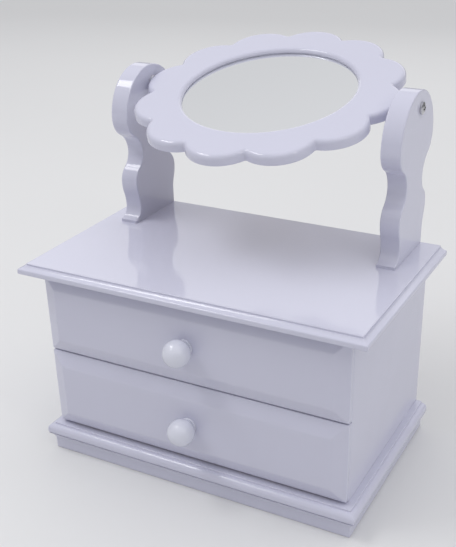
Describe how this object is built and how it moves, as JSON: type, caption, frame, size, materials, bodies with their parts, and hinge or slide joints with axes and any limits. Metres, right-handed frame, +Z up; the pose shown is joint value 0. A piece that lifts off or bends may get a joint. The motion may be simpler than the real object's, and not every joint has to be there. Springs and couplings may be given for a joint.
{
  "type": "jewelry box",
  "caption": "White lacquered jewelry box with stacked drawers, ball knobs, moulded top and base, and a round scalloped mirror tilting between wavy posts.",
  "frame": {"origin": "middle of the plinth's flat underside, where the box stands", "axes": "+X to the right seen from the front, +Y to the back, +Z up; the drawers open towards -Y"},
  "size_m": [0.3, 0.2806, 0.3264],
  "materials": {
    "lacquer": "white high-gloss lacquer over smooth board",
    "knob": "bright white high-gloss lacquer on a turned wooden ball",
    "raw_board": "unpainted fibreboard and plywood inside the drawers",
    "hardboard": "thin brown hardboard backing",
    "felt": "short-pile felt drawer lining",
    "glass": "silvered flat mirror glass",
    "screw": "bright plated steel screws",
    "insert": "plain brass threaded sleeve",
    "washer": "translucent white nylon washer",
    "fastener": "zinc-plated wood screws, pins and clips",
    "dowel": "plain beech dowel"
  },
  "bodies": {
    "carcass": {"top_board": "lacquer", "base_board": "lacquer", "plinth_board": "lacquer", "shelf": "raw_board", "back_panel": "lacquer", "left_side_panel": "lacquer", "right_side_panel": "lacquer", "left_mirror_post": "lacquer", "right_mirror_post": "lacquer", "post_screws": "fastener", "base_screws": "fastener", "top_dowels": "dowel", "back_panel_pins": "fastener"},
    "mirror": {"mirror_frame": "lacquer", "mirror_glass": "glass", "mirror_backing": "hardboard", "mirror_clips": "fastener", "mirror_clip_screws": "fastener", "left_pivot_screw": "screw", "right_pivot_screw": "screw", "left_pivot_washer": "washer", "right_pivot_washer": "washer", "left_pivot_insert": "insert", "right_pivot_insert": "insert"},
    "lower_drawer": {"lower_drawer_front": "lacquer", "lower_drawer_inner_front": "raw_board", "lower_drawer_left_side": "raw_board", "lower_drawer_right_side": "raw_board", "lower_drawer_back": "raw_board", "lower_drawer_bottom": "raw_board", "lower_drawer_lining": "felt", "lower_knob": "knob", "lower_knob_screw": "screw"},
    "upper_drawer": {"upper_drawer_front": "lacquer", "upper_drawer_inner_front": "raw_board", "upper_drawer_left_side": "raw_board", "upper_drawer_right_side": "raw_board", "upper_drawer_back": "raw_board", "upper_drawer_bottom": "raw_board", "upper_drawer_lining": "felt", "upper_knob": "knob", "upper_knob_screw": "screw"}
  },
  "joints": [
    {"name": "upper_drawer_slide", "type": "slide", "parent": "carcass", "child": "upper_drawer", "axis": [0, -1, 0], "range_m": [0, 0.12]},
    {"name": "lower_drawer_slide", "type": "slide", "parent": "carcass", "child": "lower_drawer", "axis": [0, -1, 0], "range_m": [0, 0.12]},
    {"name": "mirror_tilt", "type": "hinge", "parent": "carcass", "child": "mirror", "pos_m": [0, 0.0665, 0.2962], "axis": [1, 0, 0], "continuous": true}
  ]
}
